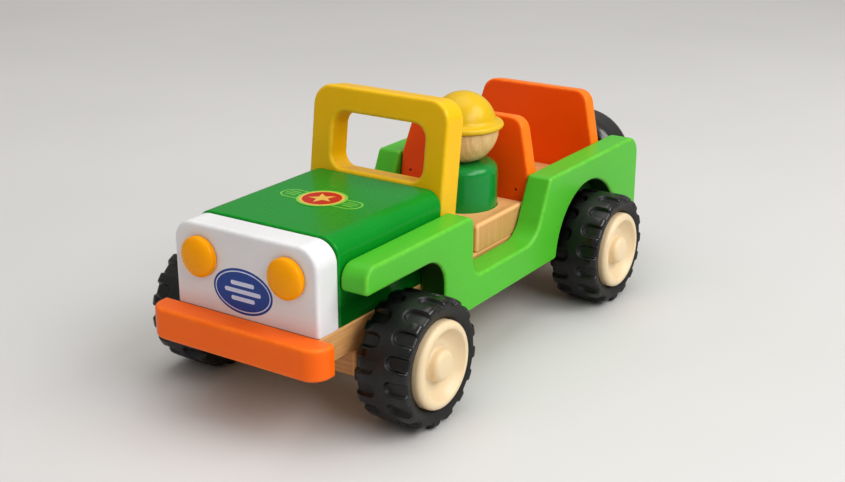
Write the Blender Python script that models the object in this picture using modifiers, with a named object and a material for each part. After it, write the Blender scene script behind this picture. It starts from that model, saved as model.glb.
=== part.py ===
"""Open wooden toy car with a pull-back motor, as an assembly of separate pieces.

Metres, +Z up. The car stands on the ground plane z = 0 and looks towards -Y;
+X is the car's left. The origin is under the middle of its bounding box.
"""
import math

import bmesh
import bpy
from mathutils import Matrix, Vector

OBJECT_NAME = "pull_back_car"

# ---- driving dimensions -------------------------------------------------
WHEELBASE = 0.150
TYRE_RADIUS = 0.0252
BOARD = 0.012                      # stock board thickness
GAP = 0.0003                       # clearance between touching pieces
LEAN = math.radians(7.9)           # windshield and seat backs lean back
BODY_HALF = 0.0336                 # half width of chassis, hood and seats

FRONT_AXLE_Y = -0.08935
REAR_AXLE_Y = FRONT_AXLE_Y + WHEELBASE
AXLE_Z = TYRE_RADIUS

CHASSIS_BOTTOM = 0.0302
CHASSIS_TOP = 0.0420
CHASSIS_FRONT = FRONT_AXLE_Y - 0.0370
TAIL_Y = FRONT_AXLE_Y + 0.2015

AXLE_RADIUS = 0.0020
AXLE_BORE = AXLE_RADIUS + GAP
AXLE_HALF_LENGTH = 0.0587

# bumper, grille and hood
BUMPER_DEPTH = 0.0097
BUMPER_BOTTOM = 0.0294
BUMPER_TOP = 0.0422
BUMPER_HALF = 0.0407
BUMPER_CORNER = 0.0080
GRILLE_THICK = 0.0124
GRILLE_TOP = 0.0756
GRILLE_CORNER = 0.0085
HOOD_TOP = 0.0760
HOOD_CORNER = 0.0075
HEADLIGHT_RADIUS = 0.0079
HEADLIGHT_DEPTH = 0.0042
HEADLIGHT_X = 0.0206
HEADLIGHT_Z = 0.0630

# side panels
PANEL_INNER = BODY_HALF + GAP
PANEL_OUTER = PANEL_INNER + 0.0118
PANEL_BOTTOM = 0.0270
FENDER_BOTTOM = 0.0564
FENDER_TOP = 0.0668
SILL_TOP = 0.0408
REAR_TOP = 0.0660
ARCH_RADIUS = 0.0302

# windshield: distances along the leaning board start at the chassis top
WINDSHIELD_FOOT_Y = FRONT_AXLE_Y + 0.0397
WINDSHIELD_HALF = 0.0333
WINDSHIELD_HEIGHT = 0.0695
WINDOW_HALF = 0.0228
WINDOW_LOW = 0.0355
WINDOW_HIGH = 0.0590

# seats
SEAT_TOP = 0.0542
SEAT_FRONT_Y = FRONT_AXLE_Y + 0.0710
DECK_TOP = 0.0530
SEAT_BACK_THICK = 0.0080
SEAT_BACK_HEIGHT = 0.0482
SEAT_BACK_SHOULDER = 0.0240
SEAT_BACK_TOP_HALF = 0.0272
FRONT_BACK_FOOT_Y = FRONT_AXLE_Y + 0.1102
REAR_BACK_FOOT_Y = FRONT_AXLE_Y + 0.1720

# driver figure
DRIVER_X = 0.0120
DRIVER_Y = FRONT_AXLE_Y + 0.0938
TORSO_RADIUS = 0.0152
TORSO_TOP = 0.0738
RECESS_DEPTH = 0.0040
HEAD_RADIUS = 0.0154
HEAD_Z = 0.0882
HELMET_RADIUS = 0.0142
BRIM_RADIUS = 0.0174
NECK_RADIUS = 0.0030

# wheels: distances along the axle start at the car's middle plane
TYRE_INNER = 0.0404
TYRE_OUTER = 0.0619
HUB_RADIUS = 0.0169
HUB_FACE = 0.0636
HUB_INNER = 0.0418
HUB_BOSS = 0.0061
HUB_BOSS_FACE = 0.0641
TYRE_STEPS = 32
ROUND_STEPS = 24

# spare wheel, its axle along Y
SPARE_X = 0.0090
SPARE_Z = 0.0458
SPARE_SHIFT = TAIL_Y + 0.0006 - TYRE_INNER

# pull-back motor: gear centres, tooth counts and layers across the car
MODULE = 0.0007
AXLE_TEETH = 12
WHEEL_TEETH = 24
PINION_TEETH = 10
SPRING_TEETH = 28
MESH_PLAY = 0.00010
COMPOUND_RISE = 0.00315
SPRING_DROP = 0.0028
CASE_HALF = 0.0120
CASE_WALL = 0.0012
CASE_BOTTOM = 0.0136
CASE_TOP = 0.0390
CASE_REAR = REAR_AXLE_Y + 0.0065
CASE_FRONT = REAR_AXLE_Y - 0.0375
COMPOUND_PIN = 0.0010
ARBOR_RADIUS = 0.0015
DRUM_RADIUS = 0.0092
SCREW_X = 0.0050

MODEL = bpy.data.collections.new(OBJECT_NAME)
CUTTERS = bpy.data.collections.new("cutters")

ALONG_X = Matrix.Rotation(math.pi / 2, 4, "Z") @ Matrix.Rotation(math.pi / 2, 4, "X")
ALONG_Y = Matrix.Rotation(math.pi / 2, 4, "X")
LEANING = Matrix.Rotation(math.pi / 2 - LEAN, 4, "X")


# ---- scene, materials and helpers ---------------------------------------
def clear_scene():
    for item in list(bpy.data.objects):
        bpy.data.objects.remove(item, do_unlink=True)
    for collection in (MODEL, CUTTERS):
        bpy.context.scene.collection.children.link(collection)


def material(name, colour, roughness=0.4, metallic=0.0):
    made = bpy.data.materials.new(name)
    made.use_nodes = True
    shader = made.node_tree.nodes["Principled BSDF"]
    shader.inputs["Base Color"].default_value = (*colour, 1.0)
    shader.inputs["Roughness"].default_value = roughness
    shader.inputs["Metallic"].default_value = metallic
    return made


def finish(piece, look, bevel=0.0, segments=1):
    """Smooth shading, the piece's own material and rounded edges."""
    piece.data.shade_smooth()
    piece.data.set_sharp_from_angle(angle=math.radians(35))
    name, colour, roughness, metallic = look
    piece.data.materials.clear()
    piece.data.materials.append(material(f"{piece.name}_{name}", colour, roughness, metallic))
    if bevel:
        edge = piece.modifiers.new("rounded_edges", "BEVEL")
        edge.width = bevel
        edge.segments = segments
        edge.limit_method = "ANGLE"
        edge.angle_limit = math.radians(50)
    return piece


def place(name, mesh, matrix=Matrix(), collection=None):
    piece = bpy.data.objects.new(name, mesh)
    piece.matrix_world = matrix
    (collection or MODEL).objects.link(piece)
    return piece


def box(name, low, high, collection=None):
    mesh = bpy.data.meshes.new(name)
    shape = bmesh.new()
    bmesh.ops.create_cube(shape, size=1.0)
    middle = (Vector(low) + Vector(high)) / 2
    size = Vector(high) - Vector(low)
    bmesh.ops.scale(shape, vec=size, verts=shape.verts)
    shape.to_mesh(mesh)
    shape.free()
    return place(name, mesh, Matrix.Translation(middle), collection)


def rod(name, radius, start, end, collection=None, steps=20):
    """A round bar between two points, its origin at the start."""
    start, end = Vector(start), Vector(end)
    along = end - start
    mesh = bpy.data.meshes.new(name)
    shape = bmesh.new()
    bmesh.ops.create_cone(shape, cap_ends=True, segments=steps, radius1=radius, radius2=radius,
                          depth=along.length)
    bmesh.ops.translate(shape, vec=(0, 0, along.length / 2), verts=shape.verts)
    shape.to_mesh(mesh)
    shape.free()
    turn = along.to_track_quat("Z", "Y").to_matrix().to_4x4()
    return place(name, mesh, Matrix.Translation(start) @ turn, collection)


def arc(centre, radius, start, end, steps):
    return [(centre[0] + radius * math.cos(start + (end - start) * i / steps),
             centre[1] + radius * math.sin(start + (end - start) * i / steps))
            for i in range(steps + 1)]


def rounded(corners, steps=5):
    """Outline points of a polygon given as (a, b, corner radius)."""
    points = []
    count = len(corners)
    for i, (a, b, radius) in enumerate(corners):
        here = Vector((a, b))
        if radius == 0:
            points.append((a, b))
            continue
        back = (Vector(corners[i - 1][:2]) - here).normalized()
        ahead = (Vector(corners[(i + 1) % count][:2]) - here).normalized()
        half = back.angle(ahead) / 2
        middle = here + (back + ahead).normalized() * radius / math.sin(half)
        first = here + back * radius / math.tan(half) - middle
        last = here + ahead * radius / math.tan(half) - middle
        for step in range(steps + 1):
            spoke = first.slerp(last, step / steps) if first.angle(last) > 1e-6 else first
            point = middle + spoke.normalized() * radius
            points.append((point.x, point.y))
    return points


def mirrored(half):
    """A closed outline from its half at positive a, listed from low b to high b."""
    return half + [(-a, b, radius) for a, b, radius in reversed(half)]


def plate(name, loops, thickness, matrix, collection=None):
    """A flat outline, with any holes, filled and extruded about its own plane."""
    curve = bpy.data.curves.new(name, "CURVE")
    curve.dimensions = "2D"
    curve.fill_mode = "BOTH"
    curve.extrude = thickness / 2
    for points in loops:
        spline = curve.splines.new("POLY")
        spline.points.add(len(points) - 1)
        for point, (a, b) in zip(spline.points, points):
            point.co = (a, b, 0, 1)
        spline.use_cyclic_u = True
    drawn = bpy.data.objects.new(name + "_outline", curve)
    MODEL.objects.link(drawn)
    bpy.context.view_layer.update()
    view = drawn.evaluated_get(bpy.context.evaluated_depsgraph_get())
    mesh = bpy.data.meshes.new_from_object(view)
    mesh.name = name
    bpy.data.objects.remove(drawn, do_unlink=True)
    bpy.data.curves.remove(curve)
    shape = bmesh.new()
    shape.from_mesh(mesh)
    bmesh.ops.remove_doubles(shape, verts=shape.verts, dist=1e-6)
    bmesh.ops.dissolve_limit(shape, angle_limit=0.001, verts=shape.verts, edges=shape.edges)
    bmesh.ops.recalc_face_normals(shape, faces=shape.faces)
    shape.to_mesh(mesh)
    shape.free()
    return place(name, mesh, matrix, collection)


def turned(name, profile, matrix, steps=ROUND_STEPS):
    """A profile of (radius, height), listed down its outer side, turned about Z."""
    mesh = bpy.data.meshes.new(name)
    edges = [(i, i + 1) for i in range(len(profile) - 1)]
    if profile[0][0] > 0:
        edges.append((len(profile) - 1, 0))
    mesh.from_pydata([(radius, 0, height) for radius, height in profile], edges, [])
    piece = place(name, mesh, matrix)
    screw = piece.modifiers.new("turned", "SCREW")
    screw.steps = steps
    screw.render_steps = steps
    screw.use_merge_vertices = True
    screw.merge_threshold = 0.00001
    screw.use_smooth_shade = True
    return piece


def combine(piece, tool, operation="DIFFERENCE"):
    for old in list(tool.users_collection):
        old.objects.unlink(tool)
    CUTTERS.objects.link(tool)
    tool.hide_render = True
    tool.display_type = "WIRE"
    change = piece.modifiers.new(operation.lower(), "BOOLEAN")
    change.operation = operation
    change.solver = "EXACT"
    change.object = tool


def rake_end(piece, rear, foot_y, offset):
    """Tilt one end face of a block to lie along a leaning board."""
    inverse = piece.matrix_world.inverted()
    ys = [(piece.matrix_world @ vertex.co).y for vertex in piece.data.vertices]
    middle = (min(ys) + max(ys)) / 2
    for vertex in piece.data.vertices:
        world = piece.matrix_world @ vertex.co
        if (world.y > middle) == rear:
            world.y = foot_y + offset + (world.z - CHASSIS_TOP) * math.tan(LEAN)
            vertex.co = inverse @ world


def trim_foot(piece):
    """Cut a leaning board off level, just above the chassis."""
    inverse = piece.matrix_world.inverted()
    level = inverse @ Vector((0, piece.location.y, CHASSIS_TOP + GAP))
    normal = (inverse.to_3x3() @ Vector((0, 0, 1))).normalized()
    shape = bmesh.new()
    shape.from_mesh(piece.data)
    everything = shape.verts[:] + shape.edges[:] + shape.faces[:]
    cut = bmesh.ops.bisect_plane(shape, geom=everything, plane_co=level, plane_no=normal,
                                 clear_inner=True)
    rim = [item for item in cut["geom_cut"] if isinstance(item, bmesh.types.BMEdge)]
    bmesh.ops.edgeloop_fill(shape, edges=rim)
    bmesh.ops.recalc_face_normals(shape, faces=shape.faces)
    shape.to_mesh(piece.data)
    shape.free()


# ---- looks: name, colour, roughness, metallic -----------------------------
NATURAL = ("beech", (0.68, 0.40, 0.18), 0.5, 0.0)
LIGHT_GREEN = ("light_green_paint", (0.10, 0.52, 0.06), 0.35, 0.0)
DARK_GREEN = ("dark_green_paint", (0.01, 0.26, 0.05), 0.3, 0.0)
YELLOW = ("yellow_paint", (0.85, 0.55, 0.01), 0.3, 0.0)
ORANGE = ("orange_paint", (0.90, 0.20, 0.01), 0.35, 0.0)
WHITE = ("white_paint", (0.80, 0.80, 0.80), 0.3, 0.0)
AMBER = ("amber_paint", (0.90, 0.42, 0.0), 0.25, 0.0)
TYRE_BLACK = ("black_rubber", (0.012, 0.012, 0.013), 0.45, 0.0)
CREAM = ("cream_plastic", (0.85, 0.70, 0.44), 0.35, 0.0)
STEEL = ("steel", (0.6, 0.6, 0.6), 0.25, 1.0)
GREY_PLASTIC = ("grey_plastic", (0.25, 0.26, 0.28), 0.45, 0.0)
WHITE_PLASTIC = ("white_plastic", (0.75, 0.74, 0.70), 0.4, 0.0)
BLUE_PLASTIC = ("blue_plastic", (0.05, 0.15, 0.45), 0.4, 0.0)
SPRING_STEEL = ("spring_steel", (0.28, 0.30, 0.35), 0.25, 1.0)


# ---- chassis ----------------------------------------------------------------
def make_chassis():
    half = BODY_HALF
    slot_half = CASE_HALF + 0.0008
    outer = [(-half, CHASSIS_FRONT), (half, CHASSIS_FRONT), (half, TAIL_Y), (-half, TAIL_Y)]
    slot = [(-slot_half, CASE_FRONT - 0.0008), (slot_half, CASE_FRONT - 0.0008),
            (slot_half, CASE_REAR + 0.0008), (-slot_half, CASE_REAR + 0.0008)]
    middle = (CHASSIS_BOTTOM + CHASSIS_TOP) / 2
    board = plate("chassis_board", [outer, slot], CHASSIS_TOP - CHASSIS_BOTTOM,
                  Matrix.Translation((0, 0, middle)))
    for y in motor_screw_places():
        combine(board, rod("pilot_hole", 0.0013, (SCREW_X, y, CHASSIS_BOTTOM - 0.001),
                           (SCREW_X, y, CHASSIS_BOTTOM + 0.0085), steps=12))
    finish(board, NATURAL)


def make_axle_blocks():
    low = CHASSIS_BOTTOM - GAP - BOARD + 0.0005
    high = CHASSIS_BOTTOM - GAP
    inner = CASE_HALF + 0.0010
    spans = {"front_axle_block": (-BODY_HALF, BODY_HALF, FRONT_AXLE_Y),
             "rear_axle_block_left": (inner, BODY_HALF, REAR_AXLE_Y),
             "rear_axle_block_right": (-BODY_HALF, -inner, REAR_AXLE_Y)}
    for name, (start, end, y) in spans.items():
        block = box(name, (start, y - 0.0155, low), (end, y + 0.0155, high))
        finish(block, NATURAL, 0.0012)
        combine(block, rod(name + "_bore", AXLE_BORE, (start - 0.001, y, AXLE_Z),
                           (end + 0.001, y, AXLE_Z)))


def make_bumper():
    back = CHASSIS_FRONT - GAP
    front = back - BUMPER_DEPTH
    half = BUMPER_HALF
    outline = rounded([(half, back, 0.0), (-half, back, 0.0),
                       (-half, front, BUMPER_CORNER), (half, front, BUMPER_CORNER)], 7)
    middle = (BUMPER_BOTTOM + BUMPER_TOP) / 2
    bumper = plate("front_bumper", [outline], BUMPER_TOP - BUMPER_BOTTOM,
                   Matrix.Translation((0, 0, middle)))
    finish(bumper, ORANGE, 0.0008)


# ---- nose and body ------------------------------------------------------------
def make_grille():
    low = CHASSIS_TOP + GAP
    half = [(BODY_HALF + 0.0002, low, 0.0), (BODY_HALF + 0.0002, GRILLE_TOP, GRILLE_CORNER)]
    middle_y = CHASSIS_FRONT + GRILLE_THICK / 2
    panel = plate("grille_panel", [rounded(mirrored(half), 7)], GRILLE_THICK,
                  Matrix.Translation((0, middle_y, 0)) @ ALONG_Y)
    finish(panel, WHITE, 0.0010)


def make_headlights():
    edge = 0.0022
    rise = HEADLIGHT_DEPTH - edge
    profile = [(HEADLIGHT_RADIUS * math.sin(i * math.pi / 10),
                edge + rise * math.cos(i * math.pi / 10)) for i in range(6)]
    profile += [(HEADLIGHT_RADIUS, 0), (0, 0)]
    for name, x in (("headlight_left", HEADLIGHT_X), ("headlight_right", -HEADLIGHT_X)):
        spot = Matrix.Translation((x, CHASSIS_FRONT - GAP, HEADLIGHT_Z)) @ ALONG_Y
        finish(turned(name, profile, spot, 20), AMBER)


def make_hood():
    low = CHASSIS_TOP + GAP
    half = [(BODY_HALF, low, 0.0), (BODY_HALF, HOOD_TOP, HOOD_CORNER)]
    front = CHASSIS_FRONT + GRILLE_THICK + GAP
    rear = WINDSHIELD_FOOT_Y
    hood = plate("hood_block", [rounded(mirrored(half), 7)], rear - front,
                 Matrix.Translation((0, (front + rear) / 2, 0)) @ ALONG_Y)
    rake_end(hood, True, WINDSHIELD_FOOT_Y, -GAP)
    finish(hood, DARK_GREEN)


def panel_outline():
    """Side view of a side panel: fender, door opening, rear quarter, wheel arch."""
    front = CHASSIS_FRONT + GRILLE_THICK + GAP
    arch_rear = FRONT_AXLE_Y + 0.0278
    step = FRONT_AXLE_Y + 0.0487
    rise_foot = FRONT_AXLE_Y + 0.1002
    rise_top = FRONT_AXLE_Y + 0.1123
    tip = math.asin((PANEL_BOTTOM - AXLE_Z) / ARCH_RADIUS)
    arch = arc((REAR_AXLE_Y, AXLE_Z), ARCH_RADIUS, math.pi - tip, tip, 14)
    corners = [(front, FENDER_BOTTOM, 0.0015),
               (arch_rear, FENDER_BOTTOM, 0.0120),
               (arch_rear, PANEL_BOTTOM, 0.0030)]
    corners += [(y, z, 0.0) for y, z in arch]
    corners += [(TAIL_Y, PANEL_BOTTOM, 0.0030),
                (TAIL_Y, REAR_TOP, 0.0090),
                (rise_top, REAR_TOP, 0.0015),
                (rise_foot, SILL_TOP, 0.0120),
                (step, SILL_TOP, 0.0070),
                (step, FENDER_TOP, 0.0035),
                (front, FENDER_TOP, 0.0060)]
    return rounded(corners)


def make_side_panels():
    outline = panel_outline()
    middle = (PANEL_INNER + PANEL_OUTER) / 2
    for name, x in (("side_panel_left", middle), ("side_panel_right", -middle)):
        panel = plate(name, [outline], PANEL_OUTER - PANEL_INNER,
                      Matrix.Translation((x, 0, 0)) @ ALONG_X)
        finish(panel, LIGHT_GREEN, 0.0010)


def leaning_board(name, loops, thickness, foot_y):
    """A board whose front face passes through (foot_y, chassis top)."""
    into = Vector((0, math.cos(LEAN), -math.sin(LEAN))) * thickness / 2
    spot = Matrix.Translation(Vector((0, foot_y, CHASSIS_TOP)) + into)
    board = plate(name, loops, thickness, spot @ LEANING)
    bpy.context.view_layer.update()
    trim_foot(board)
    return board


def make_windshield():
    half = [(WINDSHIELD_HALF, -0.002, 0.0), (WINDSHIELD_HALF, WINDSHIELD_HEIGHT, 0.0088)]
    hole = [(WINDOW_HALF, WINDOW_LOW, 0.0060), (WINDOW_HALF, WINDOW_HIGH, 0.0060)]
    frame = leaning_board("windshield_frame",
                          [rounded(mirrored(half), 6), rounded(mirrored(hole), 6)],
                          BOARD, WINDSHIELD_FOOT_Y)
    finish(frame, YELLOW, 0.0010)


# ---- seats --------------------------------------------------------------------
def seat_back_outline():
    half = [(BODY_HALF, -0.002, 0.0), (BODY_HALF, SEAT_BACK_SHOULDER, 0.002),
            (SEAT_BACK_TOP_HALF, SEAT_BACK_HEIGHT, 0.0070)]
    return rounded(mirrored(half))


def make_seat_backs():
    front = leaning_board("front_seat_back", [seat_back_outline()], SEAT_BACK_THICK,
                          FRONT_BACK_FOOT_Y)
    for nail, head, tip in seat_nails():
        combine(front, rod(nail + "_hole", 0.0011, head, tip, steps=10))
    finish(front, ORANGE)
    rear = leaning_board("rear_seat_back", [seat_back_outline()], SEAT_BACK_THICK,
                         REAR_BACK_FOOT_Y)
    finish(rear, ORANGE, 0.0008)


def seat_nails():
    """Names, open ends and inner ends of the holes for the seat back's two nails."""
    height = 0.0163
    normal = Vector((0, math.cos(LEAN), -math.sin(LEAN)))
    up = Vector((0, math.sin(LEAN), math.cos(LEAN)))
    found = []
    for name, x in (("seat_nail_left", 0.0280), ("seat_nail_right", -0.0280)):
        face = Vector((x, FRONT_BACK_FOOT_Y, CHASSIS_TOP)) + up * height
        found.append((name, face - normal * 0.001, face + normal * 0.0062))
    return found


def make_seat_nails():
    for name, head, tip in seat_nails():
        along = (tip - head).normalized()
        finish(rod(name, 0.0008, head + along * 0.0011, tip - along * 0.0004, steps=10), STEEL)


def seat_block(name, front, rear, top):
    """A block as wide as the chassis, standing on it."""
    block = box(name, (-BODY_HALF, front, CHASSIS_TOP + GAP), (BODY_HALF, rear, top))
    bpy.context.view_layer.update()
    return block


def make_seat_bases():
    thick = SEAT_BACK_THICK / math.cos(LEAN)
    seat = seat_block("front_seat_base", SEAT_FRONT_Y, FRONT_BACK_FOOT_Y, SEAT_TOP)
    rake_end(seat, True, FRONT_BACK_FOOT_Y, -GAP)
    finish(seat, NATURAL, 0.0015)
    combine(seat, rod("driver_recess", TORSO_RADIUS + 0.0004,
                      (DRIVER_X, DRIVER_Y, SEAT_TOP - RECESS_DEPTH),
                      (DRIVER_X, DRIVER_Y, SEAT_TOP + 0.001), steps=ROUND_STEPS))

    deck = seat_block("rear_seat_base", FRONT_BACK_FOOT_Y + thick, REAR_BACK_FOOT_Y, DECK_TOP)
    rake_end(deck, True, REAR_BACK_FOOT_Y, -GAP)
    rake_end(deck, False, FRONT_BACK_FOOT_Y, thick + GAP)
    finish(deck, NATURAL)

    tail = seat_block("tail_block", REAR_BACK_FOOT_Y + thick, TAIL_Y, DECK_TOP)
    rake_end(tail, False, REAR_BACK_FOOT_Y, thick + GAP)
    combine(tail, rod("spare_pin_bore", AXLE_BORE, (SPARE_X, TAIL_Y - 0.0140, SPARE_Z),
                      (SPARE_X, TAIL_Y + 0.001, SPARE_Z)))
    finish(tail, NATURAL)


# ---- driver figure ----------------------------------------------------------------
def make_driver():
    spot = Matrix.Translation((DRIVER_X, DRIVER_Y, 0))
    foot = SEAT_TOP - RECESS_DEPTH + GAP
    shoulder = 0.0042
    neck = NECK_RADIUS + GAP
    neck_low = TORSO_TOP - 0.0060
    neck_high = HEAD_Z - HEAD_RADIUS + 0.0075
    dish = HEAD_Z - math.sqrt((HEAD_RADIUS + GAP) ** 2 - neck ** 2)
    dish = min(dish, TORSO_TOP - 0.0012)

    torso = [(neck, dish), (0.0058, TORSO_TOP)]
    torso += arc((TORSO_RADIUS - shoulder, TORSO_TOP - shoulder), shoulder, math.pi / 2, 0, 4)
    torso += [(TORSO_RADIUS, foot + 0.0006), (TORSO_RADIUS - 0.0006, foot), (0, foot),
              (0, neck_low), (neck, neck_low)]
    start = torso.index((0, neck_low))
    finish(turned("driver_body", torso[start + 1:] + torso[:start + 1], spot), DARK_GREEN)

    brim_low = HEAD_Z + 0.0001
    spigot = 0.0097
    head = [(0, brim_low + 0.0058), (spigot, brim_low + 0.0058), (spigot, brim_low)]
    last = math.acos(neck / HEAD_RADIUS)
    head += [(HEAD_RADIUS * math.cos(last * i / 9), HEAD_Z - HEAD_RADIUS * math.sin(last * i / 9))
             for i in range(10)]
    head += [(neck, neck_high), (0, neck_high)]
    finish(turned("driver_head", head, spot), NATURAL)

    rim = brim_low + GAP
    dome_z = HEAD_Z + 0.0016
    edge = 0.0013
    first = math.asin(2 * edge / HELMET_RADIUS)
    helmet = [(HELMET_RADIUS * math.cos(a), dome_z + HELMET_RADIUS * math.sin(a))
              for a in [math.pi / 2 - (math.pi / 2 - first) * i / 7 for i in range(8)]]
    helmet += arc((BRIM_RADIUS - edge, rim + edge), edge, math.pi / 2, -math.pi / 2, 4)
    helmet += [(spigot + GAP, rim), (spigot + GAP, rim + 0.0062), (0, rim + 0.0062)]
    finish(turned("driver_helmet", helmet, spot), YELLOW)

    dowel = rod("neck_dowel", NECK_RADIUS, (DRIVER_X, DRIVER_Y, neck_low + GAP),
                (DRIVER_X, DRIVER_Y, neck_high - GAP), steps=16)
    finish(dowel, NATURAL)


# ---- wheels ------------------------------------------------------------------------
def hub_profile():
    """Cream hub: proud rim, dished face, round boss, blind bore from the inside."""
    bore_end = 0.0590
    return [(0, HUB_BOSS_FACE), (0.0040, HUB_BOSS_FACE - 0.0002),
            (HUB_BOSS, HUB_BOSS_FACE - 0.0016), (HUB_BOSS + 0.0006, 0.0592),
            (0.0095, 0.0588), (0.0140, 0.0610), (HUB_RADIUS - 0.0012, HUB_FACE),
            (HUB_RADIUS, HUB_FACE - 0.0010), (HUB_RADIUS, HUB_INNER),
            (AXLE_BORE, HUB_INNER), (AXLE_BORE, bore_end), (0, bore_end)]


def tyre_profile():
    """Chunky tyre: flat tread, round shoulders, sidewalls that dip towards the hub."""
    seat = HUB_RADIUS + GAP
    outer = [(seat, 0.0600), (TYRE_RADIUS - 0.0016, TYRE_OUTER),
             (TYRE_RADIUS - 0.0005, TYRE_OUTER - 0.0007), (TYRE_RADIUS, TYRE_OUTER - 0.0020)]
    mirror_sum = TYRE_INNER + TYRE_OUTER
    return outer + [(radius, mirror_sum - height) for radius, height in reversed(outer)]


def make_wheel(name, matrix):
    finish(turned(f"{name}_hub", hub_profile(), matrix), CREAM)
    finish(turned(f"{name}_tyre", tyre_profile(), matrix, TYRE_STEPS), TYRE_BLACK)


def make_wheels():
    for axle, y in (("front", FRONT_AXLE_Y), ("rear", REAR_AXLE_Y)):
        for side, turn in (("left", math.pi / 2), ("right", -math.pi / 2)):
            spot = Matrix.Translation((0, y, AXLE_Z)) @ Matrix.Rotation(turn, 4, "Y")
            make_wheel(f"{axle}_{side}", spot)
        bar = rod(f"{axle}_axle", AXLE_RADIUS, (-AXLE_HALF_LENGTH, y, AXLE_Z),
                  (AXLE_HALF_LENGTH, y, AXLE_Z))
        finish(bar, STEEL)


def make_spare_wheel():
    rearward = Matrix.Rotation(-math.pi / 2, 4, "X")
    make_wheel("spare", Matrix.Translation((SPARE_X, SPARE_SHIFT, SPARE_Z)) @ rearward)
    pin = rod("spare_pin", AXLE_RADIUS, (SPARE_X, TAIL_Y - 0.0137, SPARE_Z),
              (SPARE_X, SPARE_SHIFT + AXLE_HALF_LENGTH, SPARE_Z))
    finish(pin, STEEL)


# ---- pull-back motor -----------------------------------------------------------------
def pitch_radius(teeth):
    return teeth * MODULE / 2


def gear_centres():
    """(y, z) of the axle gear, the compound gear and the mainspring wheel."""
    first = pitch_radius(AXLE_TEETH) + pitch_radius(WHEEL_TEETH) + MESH_PLAY
    second = pitch_radius(PINION_TEETH) + pitch_radius(SPRING_TEETH) + MESH_PLAY
    axle = Vector((REAR_AXLE_Y, AXLE_Z))
    compound = axle + Vector((-math.sqrt(first ** 2 - COMPOUND_RISE ** 2), COMPOUND_RISE))
    spring = compound + Vector((-math.sqrt(second ** 2 - SPRING_DROP ** 2), -SPRING_DROP))
    return axle, compound, spring


def gear_outline(teeth, first_tooth):
    """Involute teeth, one of them centred on the angle first_tooth."""
    pressure = math.radians(25)
    radius = pitch_radius(teeth)
    base = radius * math.cos(pressure)
    tip = radius + 0.72 * MODULE
    root = radius - 0.95 * MODULE
    play = 0.00006

    def half_angle(at):
        slope = math.acos(min(1.0, base / at))
        turn = math.tan(pressure) - pressure - (math.tan(slope) - slope)
        return math.pi / (2 * teeth) - play / radius + turn

    start = max(base, root + 0.0001)
    levels = [start, tip]
    points = []
    for tooth in range(teeth):
        middle = first_tooth + tooth * 2 * math.pi / teeth
        flank = [(root, half_angle(start) + 0.01)] + [(at, half_angle(at)) for at in levels]
        spokes = [(at, middle - angle) for at, angle in flank]
        spokes += [(at, middle + angle) for at, angle in reversed(flank)]
        points += [(at * math.cos(angle), at * math.sin(angle)) for at, angle in spokes]
    return points


def layer(name, loops, centre, start, end):
    """A flat piece across the car between x = start and x = end, about a centre (y, z)."""
    spot = Matrix.Translation(((start + end) / 2, centre.x, centre.y)) @ ALONG_X
    return plate(name, loops, end - start, spot)


def circle(radius, steps=16):
    return arc((0, 0), radius, 0, 2 * math.pi, steps)[:-1]


def make_gears():
    axle, compound, spring = gear_centres()
    forward = math.atan2(compound.y - axle.y, compound.x - axle.x)
    onward = math.atan2(spring.y - compound.y, spring.x - compound.x)

    drive = layer("axle_gear", [gear_outline(AXLE_TEETH, forward), circle(AXLE_BORE)],
                  axle, -0.0085, -0.0050)
    finish(drive, WHITE_PLASTIC)

    first = forward + math.pi + math.pi / WHEEL_TEETH
    wheel = layer("compound_gear", [gear_outline(WHEEL_TEETH, first)], compound, -0.0083, -0.0052)
    pinion = layer("compound_pinion", [gear_outline(PINION_TEETH, onward)], compound,
                   -0.0060, -0.0016)
    combine(wheel, pinion, "UNION")
    combine(wheel, rod("compound_bore", COMPOUND_PIN + GAP, (-0.0100, compound.x, compound.y),
                       (0, compound.x, compound.y), steps=16))
    finish(wheel, BLUE_PLASTIC)

    first = onward + math.pi + math.pi / SPRING_TEETH
    ring = layer("mainspring_wheel",
                 [gear_outline(SPRING_TEETH, first), circle(ARBOR_RADIUS + GAP)],
                 spring, -0.0046, -0.0016)
    finish(ring, WHITE_PLASTIC)


def spiral_strip(inner, outer, turns, thick, steps):
    """Closed outline of a flat spring, out along one side and back along the other."""
    def side(offset):
        found = []
        for i in range(steps + 1):
            angle = turns * 2 * math.pi * i / steps
            radius = inner + (outer - inner) * i / steps + offset
            found.append((radius * math.cos(angle), radius * math.sin(angle)))
        return found
    return side(thick / 2) + side(-thick / 2)[::-1]


def make_mainspring():
    spring = gear_centres()[2]
    wall = 0.0008
    outward = Matrix.Rotation(math.pi / 2, 4, "Y")
    spot = Matrix.Translation((0, spring.x, spring.y)) @ outward
    drum = [(DRUM_RADIUS, 0.0082), (DRUM_RADIUS, -0.0013), (ARBOR_RADIUS + GAP, -0.0013),
            (ARBOR_RADIUS + GAP, -0.0003), (DRUM_RADIUS - wall, -0.0003),
            (DRUM_RADIUS - wall, 0.0082)]
    finish(turned("mainspring_drum", drum, spot, 24), GREY_PLASTIC)
    strip = spiral_strip(ARBOR_RADIUS + 0.0007, DRUM_RADIUS - wall - 0.0006, 4, 0.0004, 48)
    finish(layer("mainspring", [strip], spring, 0.0002, 0.0072), SPRING_STEEL)


def make_shafts():
    compound, spring = gear_centres()[1:]
    for name, radius, centre in (("compound_shaft", COMPOUND_PIN, compound),
                                 ("mainspring_arbor", ARBOR_RADIUS, spring)):
        finish(rod(name, radius, (-CASE_HALF, centre.x, centre.y),
                   (CASE_HALF, centre.x, centre.y), steps=14), STEEL)


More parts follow.
